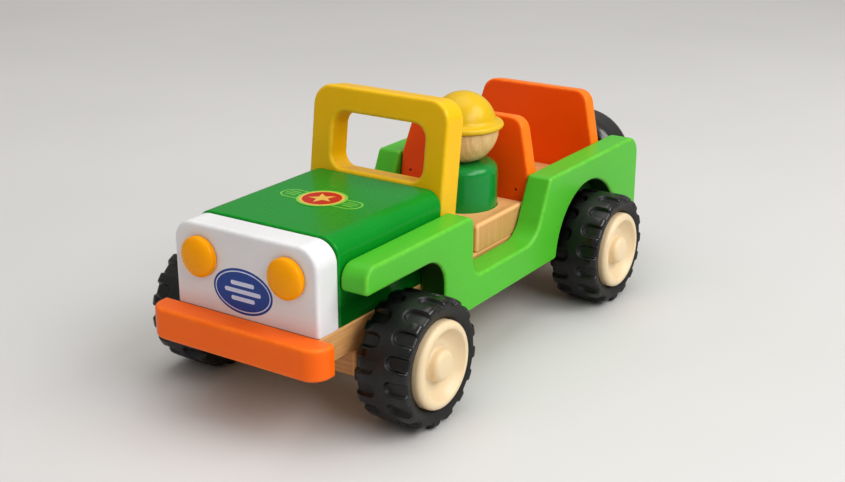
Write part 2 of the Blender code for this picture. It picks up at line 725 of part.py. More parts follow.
def case_outline(inset):
    front, rear = CASE_FRONT + inset, CASE_REAR - inset
    low, high = CASE_BOTTOM + inset, CASE_TOP - inset
    corner = 0.0035 - inset
    return rounded([(front, low, corner), (rear, low, corner), (rear, high, corner),
                    (front, high, corner)], 3)


def make_motor_case():
    origin = Vector((0, 0))
    axle, compound, spring = gear_centres()
    holes = ((axle, AXLE_BORE), (compound, COMPOUND_PIN + GAP), (spring, ARBOR_RADIUS + GAP))
    for name, sign in (("motor_case_left", 1), ("motor_case_right", -1)):
        ends = sorted((sign * GAP / 2, sign * CASE_HALF))
        half = layer(name, [case_outline(0)], origin, *ends)
        if sign > 0:
            for y in motor_screw_places():
                combine(half, motor_ear(y), "UNION")
                combine(half, rod("ear_hole", 0.0013, (SCREW_X, y, 0.024),
                                  (SCREW_X, y, CHASSIS_BOTTOM), steps=12))
        ends = sorted((-sign * 0.001, sign * (CASE_HALF - CASE_WALL)))
        combine(half, layer(name + "_pocket", [case_outline(CASE_WALL)], origin, *ends))
        for centre, radius in holes:
            combine(half, rod(name + "_hole", radius, (sign * 0.010, centre.x, centre.y),
                              (sign * 0.014, centre.x, centre.y), steps=16))
        finish(half, GREY_PLASTIC)


def motor_screw_places():
    return CASE_FRONT - 0.0042, CASE_REAR + 0.0042


def motor_ear(y):
    """Screw ear that lies against the chassis and runs into the case wall."""
    inward = 0.0048 if y < REAR_AXLE_Y - 0.02 else -0.0048
    near, far = sorted((y + inward, y - inward * 0.7))
    high = CHASSIS_BOTTOM - GAP
    return box("motor_ear", (0.0015, near, high - 0.0020), (0.0085, far, high))


def make_motor_screws():
    head_top = CHASSIS_BOTTOM - GAP - 0.0020 - GAP
    for name, y in zip(("motor_screw_front", "motor_screw_rear"), motor_screw_places()):
        profile = [(0, CHASSIS_BOTTOM + 0.0080), (0.0010, CHASSIS_BOTTOM + 0.0060),
                   (0.0010, head_top), (0.0024, head_top), (0.0024, head_top - 0.0008),
                   (0.0016, head_top - 0.0016), (0, head_top - 0.0016)]
        spot = Matrix.Translation((SCREW_X, y, 0))
        finish(turned(name, profile, spot, 14), STEEL)


def main():
    clear_scene()
    make_chassis()
    make_axle_blocks()
    make_bumper()
    make_grille()
    make_headlights()
    make_hood()
    make_side_panels()
    make_windshield()
    make_seat_bases()
    make_seat_backs()
    make_seat_nails()
    make_driver()
    make_wheels()
    make_spare_wheel()
    make_gears()
    make_mainspring()
    make_shafts()
    make_motor_case()
    make_motor_screws()


main()
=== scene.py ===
"""Looks of the open wooden toy car with a peg driver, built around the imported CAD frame.

Metres, +Z up, the car faces -Y and stands on z = 0. Every mesh is made in the CAD's frame.
"""
from math import acos, asin, cos, hypot, pi, radians, sin, sqrt, tan

import bmesh
import bpy
from mathutils import Matrix, Vector


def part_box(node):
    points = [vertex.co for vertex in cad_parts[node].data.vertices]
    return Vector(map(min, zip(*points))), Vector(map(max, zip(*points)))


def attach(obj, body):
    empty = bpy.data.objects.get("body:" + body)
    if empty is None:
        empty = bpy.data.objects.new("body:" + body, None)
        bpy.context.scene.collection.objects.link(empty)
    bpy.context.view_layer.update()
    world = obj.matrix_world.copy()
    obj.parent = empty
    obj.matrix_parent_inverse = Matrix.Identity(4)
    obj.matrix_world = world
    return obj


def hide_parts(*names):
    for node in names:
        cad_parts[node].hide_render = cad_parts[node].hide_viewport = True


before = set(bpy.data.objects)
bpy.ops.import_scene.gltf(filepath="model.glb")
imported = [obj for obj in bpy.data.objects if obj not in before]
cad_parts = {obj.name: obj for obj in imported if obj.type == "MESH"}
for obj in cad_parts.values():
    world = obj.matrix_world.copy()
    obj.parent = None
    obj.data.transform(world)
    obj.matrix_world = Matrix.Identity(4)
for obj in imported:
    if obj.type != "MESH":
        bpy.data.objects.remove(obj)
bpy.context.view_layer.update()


def middle_of(node):
    low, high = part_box(node)
    return (low + high) / 2


# ---- shapes, in metres ----
LEAN = radians(7.9)  # windshield and seat backs
GAP = 0.0003  # glue gap between pieces
CHASSIS_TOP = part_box("chassis_board")[1].z
TAIL_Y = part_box("chassis_board")[1].y
FRONT_Y = middle_of("front_axle").y
REAR_Y = middle_of("rear_axle").y
AXLE_Z = middle_of("front_axle").z

ARRIS_STEPS = 5  # faces across a board's rounded edge
EDGE_FADE = 0.0005  # width over which the edge mask runs out
LATHE_STEPS = 96

SLOT_HALF = 0.0128  # slot in the chassis board, over the motor
SLOT_AHEAD = 0.0383
SLOT_BEHIND = 0.0073
ARCH_RADIUS = 0.0302  # rear wheel arch, about the axle
SHADE_SHEET_THICKNESS = 0.0020  # thickness of the dark sheet inside the rear arch, a painted shade
FOOT_DEPTH = 0.0020  # how far a leaning board's outline starts below the chassis top
FRAME_THICKNESS = 0.0120
BACK_THICKNESS = 0.0080
RECESS_RADIUS = 0.0154  # round recess in the front seat block
RECESS_DEPTH = 0.0040
NAIL_RADIUS = 0.00055
NAIL_HALF = 0.0026

TYRE_RADIUS = 0.0252
TYRE_INNER = 0.0391  # tyre and hub: distances from the car's middle plane
TYRE_OUTER = 0.0619
TYRE_DIP = 0.0600  # where the sidewall meets the hub
POCKETS = 16  # on each shoulder
PITCH = 2 * pi / POCKETS
STAGGER = radians(8)  # turn between the outer and the inner pockets
POCKET_DEPTH = 0.0017
POCKET_LIP = 0.0003  # how far a pocket's rounded edge reaches out
POCKET_WALL = 0.0012
POCKET_HALF = 0.0029
POCKET_LENGTH = 0.0092
SHOULDER_RADIUS = 0.0232  # where the sidewall turns into the shoulder
SHOULDER_WIDTH = 0.0033
HUB_RADIUS = 0.0172
HUB_FACE = 0.0636
HUB_BACK = 0.0418
BORE_RADIUS = 0.0023
BORE_END = 0.0590
AXLE_RADIUS = 0.0020

INK = 0.00005  # thickness of a printed film
INK_STEP = 0.00004  # rise from one printed layer to the next
INK_SUNK = -0.00001  # base of the lowest layer

X, Y, Z = range(3)  # axis that a grain runs along

ALONG_X = Matrix(((0, 0, 1, 0), (1, 0, 0, 0), (0, 1, 0, 0), (0, 0, 0, 1)))
ALONG_Y = Matrix(((1, 0, 0, 0), (0, 0, -1, 0), (0, 1, 0, 0), (0, 0, 0, 1)))
FLAT = Matrix.Identity(4)


# ---- node helpers ----
def srgb(red, green, blue):
    """Linear colour of 0-255 sRGB values."""
    levels = (red / 255, green / 255, blue / 255)
    return (*[level / 12.92 if level <= 0.04045 else ((level + 0.055) / 1.055) ** 2.4
              for level in levels], 1.0)


def shaded(colour, factor):
    return (*[min(1.0, part * factor) for part in colour[:3]], 1.0)


class Skin:
    """A Principled material with short calls for the nodes around it."""

    def __init__(self, name):
        self.made = bpy.data.materials.new(name)
        self.made.use_nodes = True
        self.tree = self.made.node_tree
        self.shader = self.tree.nodes["Principled BSDF"]
        self.place = self.node("TexCoord").outputs["Object"]

    def put(self, node, socket, value):
        """Link an output to an input, or set the input's own value."""
        if isinstance(value, bpy.types.NodeSocket):
            self.tree.links.new(value, node.inputs[socket])
        else:
            node.inputs[socket].default_value = value

    def fill(self, node, **values):
        """Set inputs by name, with an underscore for a space."""
        for name, value in values.items():
            self.put(node, name.replace("_", " "), value)

    def set(self, **values):
        self.fill(self.shader, **values)

    def node(self, kind, **values):
        made = self.tree.nodes.new("ShaderNode" + kind)
        self.fill(made, **values)
        return made

    def stretched(self, scale):
        return self.node("Mapping", Vector=self.place, Scale=scale).outputs["Vector"]

    def noise(self, vector, scale, detail=2.0, rough=0.5, distortion=0.0):
        return self.node("TexNoise", Vector=vector, Scale=scale, Detail=detail, Roughness=rough,
                         Distortion=distortion).outputs["Fac"]

    def ramp(self, value, low, high, start=0.0, end=1.0):
        """value mapped from low..high to start..end, clamped."""
        return self.node("MapRange", Value=value, From_Min=low, From_Max=high, To_Min=start,
                         To_Max=end).outputs["Result"]

    def maths(self, kind, first, second):
        node = self.node("Math")
        node.operation = kind
        self.put(node, 0, first)
        self.put(node, 1, second)
        return node.outputs["Value"]

    def mix(self, factor, first, second):
        node = self.node("Mix")
        node.data_type = "RGBA"
        for socket, value in ((0, factor), (6, first), (7, second)):  # the colour mix's own sockets
            self.put(node, socket, value)
        return node.outputs[2]

    def mask(self, name):
        """A point attribute that the mesh carries: edge, rim or lug."""
        node = self.node("Attribute")
        node.attribute_name = name
        return node.outputs["Fac"]

    def bump(self, height, distance, strength):
        bumped = self.node("Bump", Height=height, Distance=distance, Strength=strength)
        self.set(Normal=bumped.outputs["Normal"])


def along(axis, across, lengthwise):
    """Scale triple for texture that runs along one axis."""
    return tuple(lengthwise if i == axis else across for i in range(3))


# ---- materials ----
def painted(name, colour, axis, rough, coat, pores, lift=None, specular=0.26, grained=0.2, rim=None,
            relief=0.5, foot=None):
    """Coloured lacquer on wood: faint grain, closed pores, thin paint along the edges.

    lift is the colour of the thin paint, rim a colour for a board's narrow sides, and foot a height
    range over which the colour darkens downwards, a painted shade."""
    skin = Skin(name)
    cloud = skin.noise(skin.place, 38, 3)
    grain = skin.noise(skin.stretched(along(axis, 1500, 42)), 1.0, 4, 0.62)
    streak = skin.noise(skin.stretched(along(axis, 3400, 190)), 1.0, 2, 0.5)
    pore = skin.ramp(streak, 0.66, 0.76)
    peel = skin.noise(skin.place, 950, 1)

    tone = skin.ramp(cloud, 0.3, 0.7, 0.0, 0.55)
    base = skin.mix(tone, shaded(colour, 0.94), shaded(colour, 1.05))
    lines = skin.ramp(grain, 0.35, 0.65, 0.0, grained)
    base = skin.mix(lines, base, shaded(colour, 0.86))
    spots = skin.maths("MULTIPLY", pore, 0.30 * pores)
    base = skin.mix(spots, base, shaded(colour, 0.45))
    # painted shade: the colour darkens towards the bottom of the foot range
    if foot:
        height = skin.node("SeparateXYZ", Vector=skin.place).outputs["Z"]
        base = skin.mix(skin.ramp(height, *foot, 0.72, 0.0), base, shaded(colour, 0.14))
    if rim:
        base = skin.mix(skin.maths("MULTIPLY", skin.mask("rim"), 0.9), base,
                        skin.mix(lines, rim, shaded(rim, 0.88)))
    edge = skin.mask("edge")
    patch = skin.ramp(skin.noise(skin.place, 420, 4, 0.65), 0.42, 0.62)
    thin = skin.maths("MULTIPLY", edge, skin.ramp(patch, 0, 1, 0.10, 0.34))
    base = skin.mix(thin, base, lift or shaded(colour, 1.35))
    worn = skin.ramp(skin.noise(skin.place, 230, 5, 0.7), 0.685, 0.70)
    chip = skin.maths("MULTIPLY", skin.maths("MULTIPLY", worn, edge), 0.75)
    base = skin.mix(chip, base, srgb(214, 176, 120))

    gloss = skin.maths("ADD", skin.ramp(cloud, 0.3, 0.7, rough - 0.04, rough + 0.05),
                       skin.ramp(grain, 0.3, 0.7, -0.03, 0.04))
    height = skin.maths("ADD", skin.ramp(grain, 0, 1, 0, 0.55),
                        skin.ramp(peel, 0, 1, 0, 0.5))
    height = skin.maths("SUBTRACT", height, skin.maths("MULTIPLY", pore, 0.5 * pores))
    skin.set(Base_Color=base, Roughness=gloss, Coat_Weight=coat, Coat_Roughness=0.12,
             Specular_IOR_Level=specular)
    skin.bump(height, 0.00005, relief)
    return skin.made


def natural_wood(name, light, dark, axis, across=X, rough=0.5, sanded=0.45, banded=0.42):
    """Bare sanded wood: fibres and pores run along axis, growth bands vary along across."""
    skin = Skin(name)
    warp = skin.noise(skin.stretched(along(axis, 60, 9)), 1.0, 3, 0.55, 0.6)
    wave = skin.node("TexWave", Vector=skin.stretched(along(axis, 130, 10)), Scale=1.0,
                     Distortion=7.0, Detail=3.0, Detail_Scale=0.8)
    wave.wave_type = "BANDS"
    wave.bands_direction = "XYZ"[across]
    fibre = skin.noise(skin.stretched(along(axis, 2300, 55)), 1.0, 5, 0.6)
    short = skin.noise(skin.stretched(along(axis, 3600, 330)), 1.0, 2)
    pore = skin.ramp(short, 0.63, 0.74)

    bands = skin.ramp(wave.outputs["Fac"], 0.1, 0.9, 0.0, banded)
    base = skin.mix(bands, light, dark)
    base = skin.mix(skin.ramp(warp, 0.35, 0.65, 0.0, 0.35), base, shaded(dark, 1.08))
    base = skin.mix(skin.ramp(fibre, 0.38, 0.66, 0.0, 0.40), base, shaded(dark, 0.82))
    base = skin.mix(skin.maths("MULTIPLY", pore, 0.42), base, shaded(dark, 0.42))
    edge = skin.maths("MULTIPLY", skin.mask("edge"), sanded)
    base = skin.mix(edge, base, shaded(light, 1.25))

    height = skin.maths("SUBTRACT", skin.ramp(fibre, 0, 1, 0, 0.8),
                        skin.maths("MULTIPLY", pore, 0.6))
    skin.set(Base_Color=base, Roughness=skin.ramp(fibre, 0.3, 0.7, rough - 0.05, rough + 0.1),
             Coat_Weight=0.08, Coat_Roughness=0.3)
    skin.bump(height, 0.00012, 0.6)
    return skin.made


def rubber(name, polished, shine):
    """Black moulded rubber: dull pockets and sidewalls, and lug tops of roughness polished."""
    skin = Skin(name)
    top = skin.mask("lug")
    fine = skin.noise(skin.place, 1900, 3, 0.6)
    cloud = skin.noise(skin.place, 120, 4, 0.6)
    dust = skin.ramp(cloud, 0.42, 0.72, 0.0, 0.30)
    base = skin.mix(dust, srgb(8, 8, 9), srgb(20, 19, 19))
    base = skin.mix(skin.maths("MULTIPLY", top, 0.35), base, srgb(9, 9, 10))
    rough = skin.maths("ADD", skin.ramp(top, 0, 1, 0.5, polished),
                       skin.ramp(fine, 0.3, 0.7, -0.05, 0.06))
    skin.set(Base_Color=base, Roughness=rough, Specular_IOR_Level=shine)
    skin.bump(fine, 0.00003, 0.5)
    return skin.made


def moulded(name, colour, rough, scatter=0.0, mottle=0.04):
    """Moulded plastic with a faint orange peel and flow marks."""
    skin = Skin(name)
    cloud = skin.noise(skin.place, 60, 3, 0.55, 0.4)
    peel = skin.noise(skin.place, 1300, 2)
    tone = skin.ramp(cloud, 0.3, 0.7)
    base = skin.mix(tone, shaded(colour, 1 - mottle), shaded(colour, 1 + mottle))
    edge = skin.maths("MULTIPLY", skin.mask("edge"), 0.35)
    base = skin.mix(edge, base, shaded(colour, 1.12))
    skin.set(Base_Color=base, Roughness=skin.ramp(cloud, 0.3, 0.7, rough - 0.04, rough + 0.05))
    if scatter:
        skin.set(Subsurface_Weight=scatter, Subsurface_Scale=0.004,
                 Subsurface_Radius=(1.0, 0.6, 0.3))
    skin.bump(peel, 0.00006, 0.35)
    return skin.made


def metal(name, colour, axis=X, rough=0.28):
    """Drawn steel with fine lines along its length."""
    skin = Skin(name)
    lines = skin.noise(skin.stretched(along(axis, 5200, 90)), 1.0, 3)
    cloud = skin.noise(skin.place, 160, 3)
    base = skin.mix(skin.ramp(cloud, 0.35, 0.7, 0, 0.5), colour, shaded(colour, 0.72))
    skin.set(Base_Color=base, Metallic=1.0,
             Roughness=skin.ramp(lines, 0.3, 0.7, rough - 0.08, rough + 0.12))
    skin.bump(lines, 0.00004, 0.5)
    return skin.made


def printed(name, colour):
    """Ink film: slight mottling and a soft sheen."""
    skin = Skin(name)
    cloud = skin.noise(skin.place, 700, 3, 0.6)
    base = skin.mix(skin.ramp(cloud, 0.35, 0.68), shaded(colour, 0.93), shaded(colour, 1.06))
    skin.set(Base_Color=base, Roughness=skin.ramp(cloud, 0.3, 0.7, 0.4, 0.5))
    return skin.made


def make_looks():
    lime = srgb(150, 218, 84)
    beech = (srgb(226, 176, 118), srgb(186, 126, 70))
    inks = {"badge_blue": (28, 70, 150), "badge_white": (208, 214, 236), "emblem_red": (182, 28, 6),
            "emblem_gold": (214, 176, 82), "emblem_lime": (120, 192, 70)}
    return {
        "side_green": painted("light_green_paint", srgb(88, 190, 54), Y, 0.36, 0.08, 0.5, lime),
        # a darker green for the walls of the wheel openings and a sheet in the rear arch: painted shade
        "arch_green": painted("light_green_painted_arch_shade", srgb(26, 84, 18), Y, 0.5, 0.0, 0.5),
        # the hood's foot range darkens its sides below the fenders: painted shade
        "hood_green": painted("dark_green_paint_hood", srgb(4, 142, 42), Y, 0.25, 0.05, 0.04,
                              srgb(50, 176, 66), specular=0.2, grained=0.06, relief=0.12,
                              foot=(0.049, 0.0575)),
        "body_green": painted("dark_green_paint_body", srgb(6, 142, 60), Z, 0.22, 0.15, 0.3,
                              specular=0.4),
        "yellow_frame": painted("yellow_paint_frame", srgb(242, 190, 6), Z, 0.36, 0.10, 0.6,
                                srgb(250, 214, 70)),
        "yellow_helmet": painted("yellow_paint_helmet", srgb(224, 184, 2), Z, 0.36, 0.2, 1.3,
                                 srgb(232, 206, 60), specular=0.34, grained=0.5),
        "orange_bumper": painted("orange_paint_bumper", srgb(255, 113, 14), X, 0.36, 0.08, 0.4,
                                 srgb(255, 150, 50)),
        "orange_seat": painted("orange_paint_seat", srgb(246, 92, 1), X, 0.36, 0.08, 0.5,
                               srgb(255, 146, 40), rim=srgb(255, 130, 8)),
        "white": painted("white_paint", srgb(229, 228, 230), X, 0.40, 0.06, 0.25,
                         srgb(248, 248, 248), specular=0.35, grained=0.12),
        "amber": painted("amber_paint", srgb(254, 168, 0), X, 0.26, 0.06, 0.2,
                         srgb(255, 190, 40), specular=0.16, grained=0.1),
        "wood_long": natural_wood("beech_long", *beech, Y),
        "wood_cross": natural_wood("beech_cross", *beech, X, across=Z),
        "wood_seat": natural_wood("beech_seat", srgb(224, 172, 118), srgb(196, 138, 82), Z, across=Y,
                                  sanded=0.9, banded=0.12),
        "wood_head": natural_wood("beech_head", srgb(240, 210, 156), srgb(204, 160, 102), Z, rough=0.42),
        "rubber": rubber("black_rubber", 0.19, 0.62),
        "spare_rubber": rubber("black_rubber_spare", 0.2, 0.9),
        "cream": moulded("cream_plastic", srgb(228, 207, 171), 0.32, 0.12, 0.025),
        "steel": metal("steel", srgb(196, 198, 202)),
        "steel_upright": metal("steel_upright", srgb(150, 150, 152), Z),
        "nail": metal("darkened_steel", srgb(62, 48, 44), Z, 0.5),
        "grey": moulded("grey_plastic", srgb(112, 116, 120), 0.42, mottle=0.06),
        "white_gear": moulded("white_plastic", srgb(226, 224, 216), 0.4, 0.1),
        "blue_gear": moulded("blue_plastic", srgb(58, 104, 176), 0.4),
        "spring": metal("spring_steel", srgb(120, 126, 142), X, 0.25),
        **{name: printed(name, srgb(*colour)) for name, colour in inks.items()},
    }


# ---- meshes ----
def add_object(name, data):
    made = bpy.data.objects.new(name, data)
    bpy.context.scene.collection.objects.link(made)
    return made


def new_piece(name, verts, faces, masks, look, body, replaced=()):
    """A smooth mesh with its point masks, riding on a body and standing for CAD nodes."""
    mesh = bpy.data.meshes.new(name)
    mesh.from_pydata(verts, [], faces)
    mesh.validate()
    for mask, values in masks.items():
        stored = mesh.attributes.new(mask, "FLOAT", "POINT")
        stored.data.foreach_set("value", values)
    for each in look if isinstance(look, list) else [look]:
        mesh.materials.append(each)
    return dress(add_object(name, mesh), body, replaced)


def smooth(piece):
    piece.data.shade_smooth()
    piece.data.set_sharp_from_angle(angle=radians(40))
    even = piece.modifiers.new("even_normals", "WEIGHTED_NORMAL")
    even.keep_sharp = True


def dress(piece, body, replaced):
    """Turn the faces outwards, smooth the piece and say what it rides on and stands for."""
    shape = bmesh.new()
    shape.from_mesh(piece.data)
    bmesh.ops.recalc_face_normals(shape, faces=shape.faces)
    shape.to_mesh(piece.data)
    shape.free()
    smooth(piece)
    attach(piece, body)
    if replaced:
        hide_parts(*replaced)
    return piece


def rounded(corners, steps=8):
    """Outline points of a closed polygon given as (a, b, corner radius)."""
    points = []
    count = len(corners)
    for i, (a, b, radius) in enumerate(corners):
        here = Vector((a, b))
        if radius == 0:
            points.append((a, b))
            continue
        back = (Vector(corners[i - 1][:2]) - here).normalized()
        ahead = (Vector(corners[(i + 1) % count][:2]) - here).normalized()
        half = back.angle(ahead) / 2
        middle = here + (back + ahead).normalized() * radius / sin(half)
        first = here + back * radius / tan(half) - middle
        last = here + ahead * radius / tan(half) - middle
        for step in range(steps + 1):
            spoke = first.slerp(last, step / steps) if first.angle(last) > 1e-6 else first
            point = middle + spoke.normalized() * radius
            points.append((point.x, point.y))
    return points


def rectangle(low_a, low_b, high_a, high_b, radius, steps):
    return rounded([(low_a, low_b, radius), (high_a, low_b, radius),
                    (high_a, high_b, radius), (low_a, high_b, radius)], steps)


def mirrored(half):
    """A closed outline from its half at positive a, listed from low b to high b."""
    return half + [(-a, b, radius) for a, b, radius in reversed(half)]


def offset_directions(points, flush=None):
    """For each outline point, the inward step that moves both its sides in by one.

    A side whose inward normal is flush stays in place."""
    area = sum(points[i - 1][0] * points[i][1] - points[i][0] * points[i - 1][1]
               for i in range(len(points)))
    turn = 1 if area > 0 else -1
    normals, moves = [], []
    for i, point in enumerate(points):
        ahead = points[(i + 1) % len(points)]
        side = Vector((ahead[0] - point[0], ahead[1] - point[1])).normalized()
        normal = Vector((-side.y, side.x)) * turn
        normals.append(normal)
        moves.append(0.0 if flush and normal.dot(Vector(flush)) > 0.99 else 1.0)
    steps = []
    for i in range(len(points)):
        first, second = normals[i - 1], normals[i]
        near = first.dot(second)
        if near > 0.999 or moves[i - 1] == moves[i]:
            steps.append((first + second) / (1 + near) * max(moves[i - 1], moves[i]))
        else:
            share = first * (moves[i - 1] - near * moves[i]) + second * (moves[i] - near * moves[i - 1])
            steps.append(share / (1 - near * near))
    return steps


def slab(name, loops, low, high, matrix, look, replaced, edge, rake=None, flush=None):
    """A board of the car body from flat outlines, the first its rim and the rest holes.

    Its edges are rounded by edge, but those of the side whose inward normal is flush stay
    sharp. rake(point) may move the finished points, for an end cut at a slant."""
    rings = []
    for i in range(ARRIS_STEPS + 1):
        turn = pi / 2 * i / ARRIS_STEPS
        rings.append((edge * (1 - cos(turn)), high - edge * (1 - sin(turn)),
                      0.4 + 0.6 * sin(2 * turn)))
    fade = min(EDGE_FADE, (high - low) / 2 - edge - 1e-5)
    side = (0.0, high - edge - fade, 0.0)
    upper = [side] + rings + [(edge + EDGE_FADE, high, 0.0)]
    levels = [(inset, low + high - height, mask) for inset, height, mask in reversed(upper)]
    levels += upper
    verts, masks, rims, faces, caps = [], [], [], [], ([], [])
    for number, points in enumerate(loops):
        inward = offset_directions(points, flush)
        sign = 1 if number == 0 else -1
        start = len(verts)
        count = len(points)
        for inset, height, mask in levels:
            for point, step in zip(points, inward):
                verts.append((point[0] + step.x * inset * sign,
                              point[1] + step.y * inset * sign, height))
                masks.append(mask)
                rims.append(max(0.0, 1 - 1.5 * inset / edge))
        for level in range(len(levels) - 1):
            for i in range(count):
                j = (i + 1) % count
                at = start + level * count
                faces.append((at + i, at + j, at + count + j, at + count + i))
        top = start + (len(levels) - 1) * count
        caps[0].append([start + i for i in range(count)])
        caps[1].append([top + i for i in range(count)])
    if len(loops) == 1:
        faces += [tuple(caps[0][0][::-1]), tuple(caps[1][0])]
    else:
        faces += filled(verts, caps[0]) + filled(verts, caps[1])
    placed = [matrix @ Vector(vert) for vert in verts]
    if rake:
        placed = [rake(point) for point in placed]
    return new_piece(name, placed, faces, {"edge": masks, "rim": rims}, look, "car_body", replaced)


def filled(verts, loops):
    """Triangles that fill the area between an outline and its holes."""
    shape = bmesh.new()
    made = {}
    for loop in loops:
        for index in loop:
            made[index] = shape.verts.new(verts[index])
        for i, index in enumerate(loop):
            shape.edges.new((made[loop[i - 1]], made[index]))
    back = {vert: index for index, vert in made.items()}
    bmesh.ops.triangle_fill(shape, edges=shape.edges[:], use_beauty=True)
    faces = [tuple(back[vert] for vert in face.verts) for face in shape.faces]
    shape.free()
    return faces


def profile(points, steps=7):
    """Points (radius, height, mask) of an open profile given as (radius, height, rounding)."""
    made = []
    for i, (a, b, radius) in enumerate(points):
        here = Vector((a, b))
        if radius == 0 or i in (0, len(points) - 1):
            made.append((a, b, 0.0))
            continue
        back = Vector(points[i - 1][:2]) - here
        ahead = Vector(points[i + 1][:2]) - here
        half = back.angle(ahead) / 2
        run = radius / tan(half)
        middle = here + (back.normalized() + ahead.normalized()).normalized() * radius / sin(half)
        first = here + back.normalized() * run - middle
        last = here + ahead.normalized() * run - middle
        fade = 0.0004  # the edge mask runs out over this length
        if back.length > run + 2 * fade:
            point = here + back.normalized() * (run + fade)
            made.append((point.x, point.y, 0.0))
        for step in range(steps + 1):
            point = middle + first.slerp(last, step / steps).normalized() * radius
            made.append((point.x, point.y, sin(pi * (step + 0.5) / (steps + 1))))
        if ahead.length > run + 2 * fade:
            point = here + ahead.normalized() * (run + fade)
            made.append((point.x, point.y, 0.0))
    return made


def turned(name, points, matrix, look, body, replaced, steps=LATHE_STEPS):
    """A profile turned about Z; points on the axis become poles."""
    verts, masks, faces, rows = [], [], [], []
    for radius, height, mask in points:
        if radius < 1e-7:
            rows.append([len(verts)] * steps)
            verts.append(matrix @ Vector((0, 0, height)))
            masks.append(mask)
            continue
        rows.append([len(verts) + i for i in range(steps)])
        for i in range(steps):
            angle = 2 * pi * i / steps
            verts.append(matrix @ Vector((radius * cos(angle), radius * sin(angle), height)))
            masks.append(mask)
    closed = points[0][0] > 1e-7
    pairs = list(zip(rows, rows[1:])) + ([(rows[-1], rows[0])] if closed else [])
    for upper, lower in pairs:
        for i in range(steps):
            j = (i + 1) % steps
            corners = []
            for index in (upper[i], upper[j], lower[j], lower[i]):
                if index not in corners:
                    corners.append(index)
            if len(corners) > 2:
                faces.append(tuple(corners))
    return new_piece(name, verts, faces, {"edge": masks}, look, body, replaced)


def carve(piece, cutters, rounding=0.0):
    """Cut round holes (radius, start, end) into a piece and round the edges left sharp."""
    piece.modifiers.clear()
    tools = []
    for radius, start, end in cutters:
        start, end = Vector(start), Vector(end)
        shape = bmesh.new()
        bmesh.ops.create_cone(shape, cap_ends=True, segments=64, radius1=radius, radius2=radius,
                              depth=(end - start).length)
        turn = (end - start).to_track_quat("Z", "Y").to_matrix().to_4x4()
        bmesh.ops.transform(shape, verts=shape.verts,
                            matrix=Matrix.Translation((start + end) / 2) @ turn)
        mesh = bpy.data.meshes.new("cutter")
        shape.to_mesh(mesh)
        shape.free()
        tool = add_object("cutter", mesh)
        change = piece.modifiers.new("cut", "BOOLEAN")
        change.operation = "DIFFERENCE"
        change.solver = "EXACT"
        change.object = tool
        tools.append(tool)
    if rounding:
        soft = piece.modifiers.new("rim", "BEVEL")
        soft.width = rounding
        soft.segments = 3
        soft.limit_method = "ANGLE"
        soft.angle_limit = radians(50)
    bpy.context.view_layer.update()
    view = piece.evaluated_get(bpy.context.evaluated_depsgraph_get())
    cut = bpy.data.meshes.new_from_object(view)
    shape = bmesh.new()
    shape.from_mesh(cut)
    bmesh.ops.holes_fill(shape, edges=[edge for edge in shape.edges if edge.is_boundary], sides=0)
    shape.to_mesh(cut)
    shape.free()
    piece.modifiers.clear()
    piece.data = cut
    for tool in tools:
        bpy.data.objects.remove(tool, do_unlink=True)
    smooth(piece)


# ---- boards ----
def leaning(foot_y, z):
    """y of the front face of a leaning board at height z."""
    return foot_y + (z - CHASSIS_TOP) * tan(LEAN)


def level_foot(point):
    """Slides the foot of a leaning board up along its own slope to just above the chassis."""
    level = CHASSIS_TOP + GAP
    if point.z >= level:
        return point
    return Vector((point.x, point.y + (level - point.z) * tan(LEAN), level))


def leaning_board(name, loops, thickness, foot_y, look, edge):
    spot = Matrix.Translation((0, foot_y, CHASSIS_TOP))
    spot = spot @ Matrix.Rotation(pi / 2 - LEAN, 4, "X")
    return slab(name + "_board", loops, -thickness, 0, spot, look, (name,), edge, level_foot)


def arch(centre, radius, start, end, steps):
    """Points of an arc from angle start to angle end."""
    return [(centre[0] + radius * cos(start + (end - start) * i / steps),
             centre[1] + radius * sin(start + (end - start) * i / steps))
            for i in range(steps + 1)]


def make_chassis(looks):
    low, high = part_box("chassis_board")
    outer = rectangle(-high.x, low.y, high.x, high.y, 0.0016, 4)
    slot = rectangle(-SLOT_HALF, REAR_Y - SLOT_AHEAD, SLOT_HALF, REAR_Y + SLOT_BEHIND, 0, 1)
    slab("chassis_board_wood", [outer, slot], low.z, high.z, FLAT, looks["wood_long"],
         ("chassis_board",), 0.0009)


def make_axle_blocks(looks):
    for name in ("front_axle_block", "rear_axle_block_left", "rear_axle_block_right"):
        low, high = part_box(name)
        y = middle_of(name).y
        block = slab(name + "_wood", [rectangle(low.y, low.z, high.y, high.z, 0.0020, 5)],
                     low.x, high.x, ALONG_X, looks["wood_cross"], (name,), 0.0012)
        carve(block, [(BORE_RADIUS, (low.x - 0.001, y, AXLE_Z), (high.x + 0.001, y, AXLE_Z))])


def make_bumper(looks):
    low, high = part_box("front_bumper")
    corners = [(high.x, high.y, 0.0), (low.x, high.y, 0.0),
               (low.x, low.y, 0.0075), (high.x, low.y, 0.0075)]
    slab("front_bumper_board", [rounded(corners, 12)], low.z, high.z, FLAT, looks["orange_bumper"],
         ("front_bumper",), 0.0016, flush=(0, -1))


def make_grille(looks):
    low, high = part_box("grille_panel")
    half = [(high.x, low.z, 0.0), (high.x, high.z, 0.0085)]
    slab("grille_board", [rounded(mirrored(half), 14)], -high.y, -low.y, ALONG_Y, looks["white"],
         ("grille_panel",), 0.0015, flush=(0, 1))


